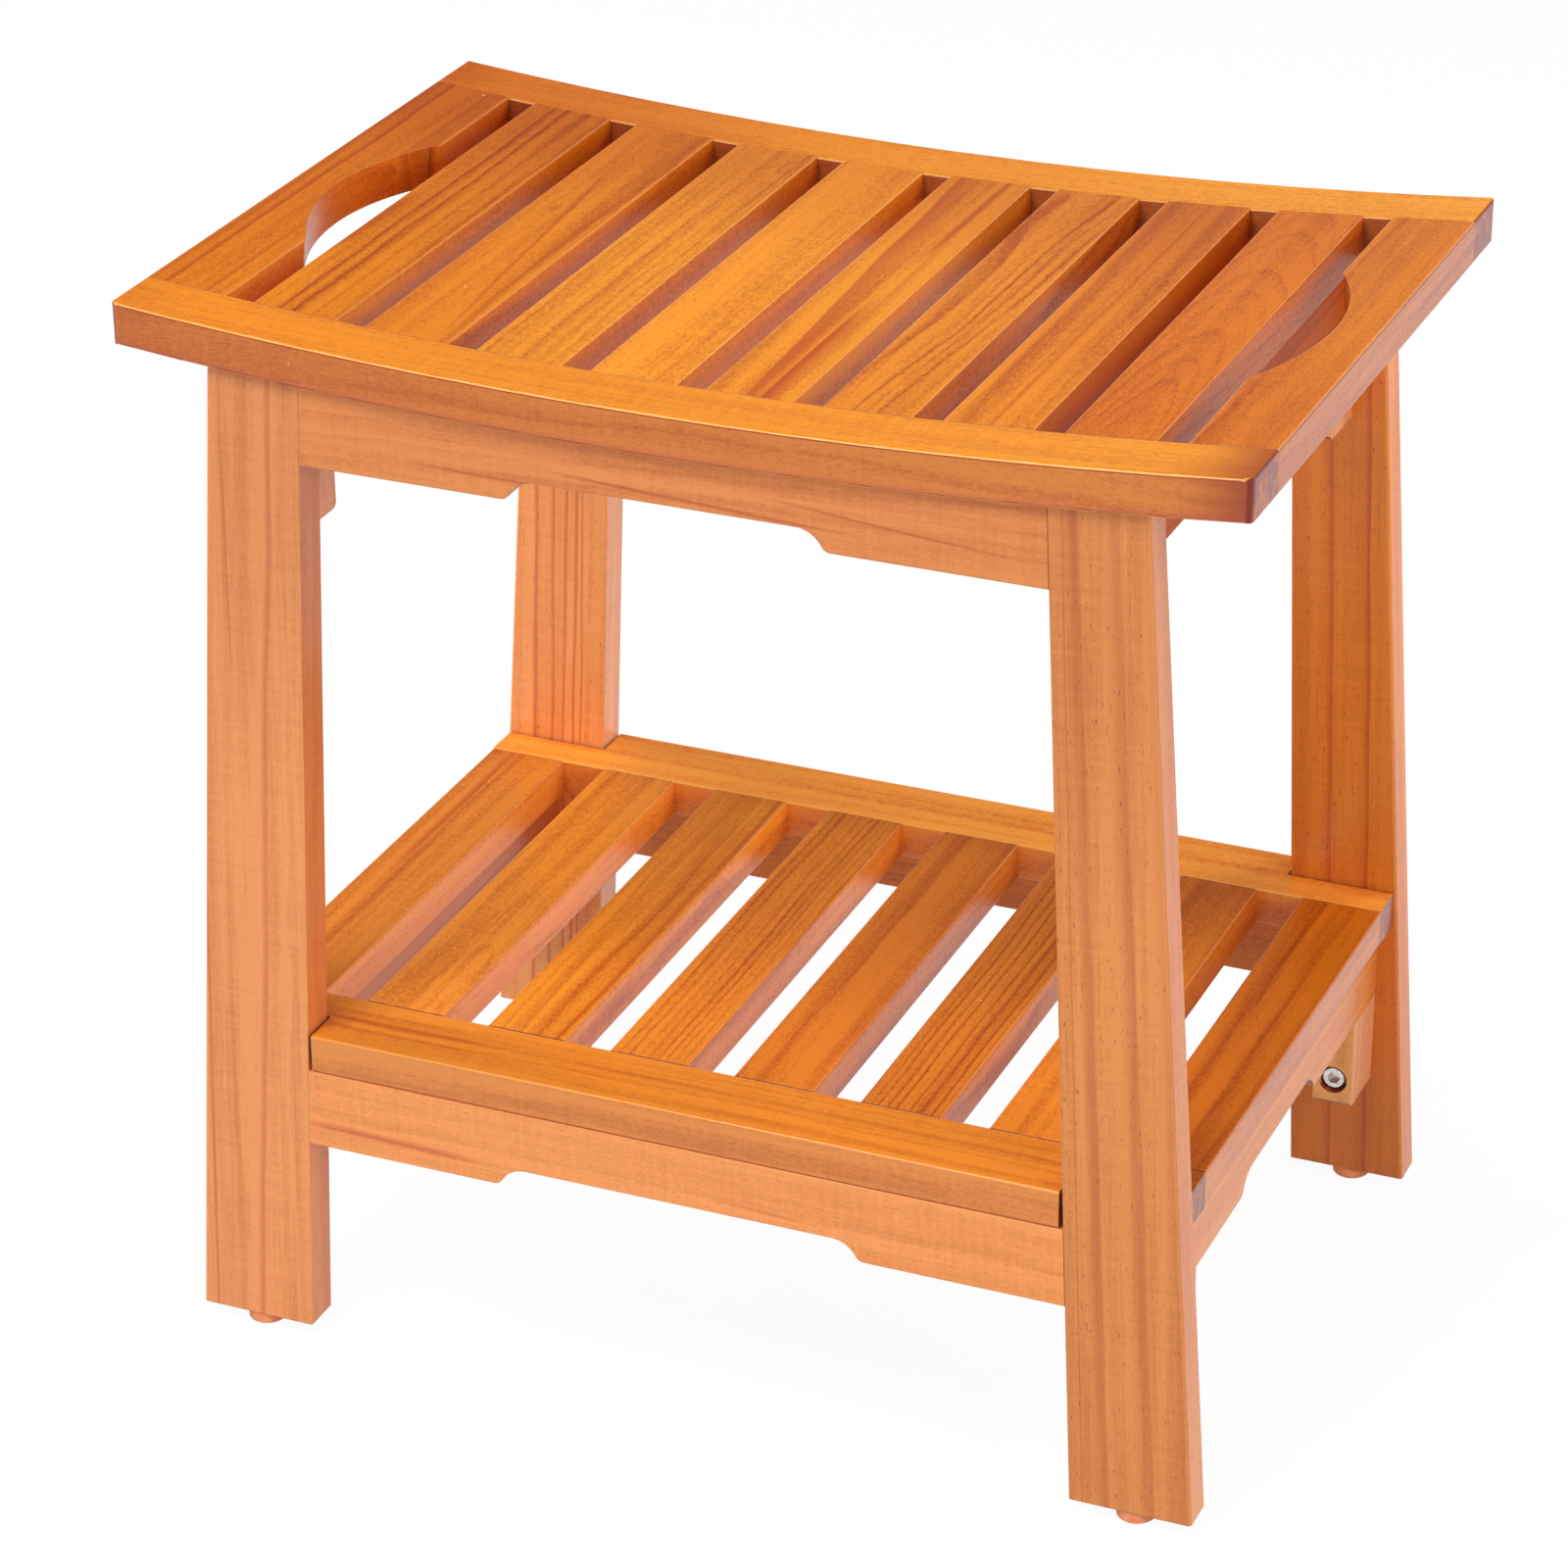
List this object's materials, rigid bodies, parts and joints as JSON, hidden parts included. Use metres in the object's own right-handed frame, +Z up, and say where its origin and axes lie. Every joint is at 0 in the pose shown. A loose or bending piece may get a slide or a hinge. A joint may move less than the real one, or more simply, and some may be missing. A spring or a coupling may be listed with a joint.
{
  "type": "wooden shower bench",
  "caption": "Shower bench with a dished slatted seat, hand holds in its end boards, splayed board legs, arched aprons and a slatted shelf.",
  "frame": {"origin": "on the floor, under the middle of the seat", "axes": "+X along the seat to the right, +Y to the back, +Z up"},
  "size_m": [0.45, 0.306, 0.4469],
  "materials": {
    "seat_rail_wood": "satin orange lacquer, grain along the rail",
    "seat_slat_wood": "satin orange lacquer, grain along the board",
    "shelf_rail_wood": "satin orange lacquer, grain along the rail",
    "shelf_slat_wood": "satin orange lacquer, grain along the board",
    "leg_wood": "satin orange lacquer, grain along the leg",
    "apron_wood": "satin orange lacquer, grain along the board",
    "side_apron_wood": "satin orange lacquer, grain along the board",
    "block_wood": "satin orange lacquer, end grain at its top and bottom",
    "dowel_wood": "bare pale beech",
    "bolt_nickel": "nickel plated",
    "screw_steel": "zinc plated",
    "insert_brass": "plain",
    "foot_pad": "matt dark brown"
  },
  "bodies": {
    "root": {"seat_front_rail": "seat_rail_wood", "seat_back_rail": "seat_rail_wood", "seat_left_end": "seat_slat_wood", "seat_right_end": "seat_slat_wood", "seat_slat_1": "seat_slat_wood", "seat_slat_2": "seat_slat_wood", "seat_slat_3": "seat_slat_wood", "seat_slat_4": "seat_slat_wood", "seat_slat_5": "seat_slat_wood", "seat_slat_6": "seat_slat_wood", "seat_slat_7": "seat_slat_wood", "seat_slat_8": "seat_slat_wood", "seat_left_apron": "side_apron_wood", "seat_right_apron": "side_apron_wood", "seat_block_front_left": "block_wood", "seat_block_front_right": "block_wood", "seat_block_back_left": "block_wood", "seat_block_back_right": "block_wood", "leg_front_left": "leg_wood", "leg_front_right": "leg_wood", "leg_back_left": "leg_wood", "leg_back_right": "leg_wood", "front_apron": "apron_wood", "back_apron": "apron_wood", "front_stretcher": "apron_wood", "back_stretcher": "apron_wood", "shelf_front_rail": "shelf_rail_wood", "shelf_back_rail": "shelf_rail_wood", "shelf_left_end": "shelf_slat_wood", "shelf_right_end": "shelf_slat_wood", "shelf_slat_1": "shelf_slat_wood", "shelf_slat_2": "shelf_slat_wood", "shelf_slat_3": "shelf_slat_wood", "shelf_slat_4": "shelf_slat_wood", "shelf_slat_5": "shelf_slat_wood", "shelf_slat_6": "shelf_slat_wood", "shelf_left_apron": "side_apron_wood", "shelf_right_apron": "side_apron_wood", "shelf_block_front_left": "block_wood", "shelf_block_front_right": "block_wood", "shelf_block_back_left": "block_wood", "shelf_block_back_right": "block_wood", "frame_dowels": "dowel_wood", "block_dowels": "dowel_wood", "leg_bolts": "bolt_nickel", "leg_inserts": "insert_brass", "seat_screws": "screw_steel", "shelf_screws": "screw_steel", "foot_front_left": "foot_pad", "foot_front_right": "foot_pad", "foot_back_left": "foot_pad", "foot_back_right": "foot_pad", "foot_screws": "screw_steel"}
  },
  "joints": []
}
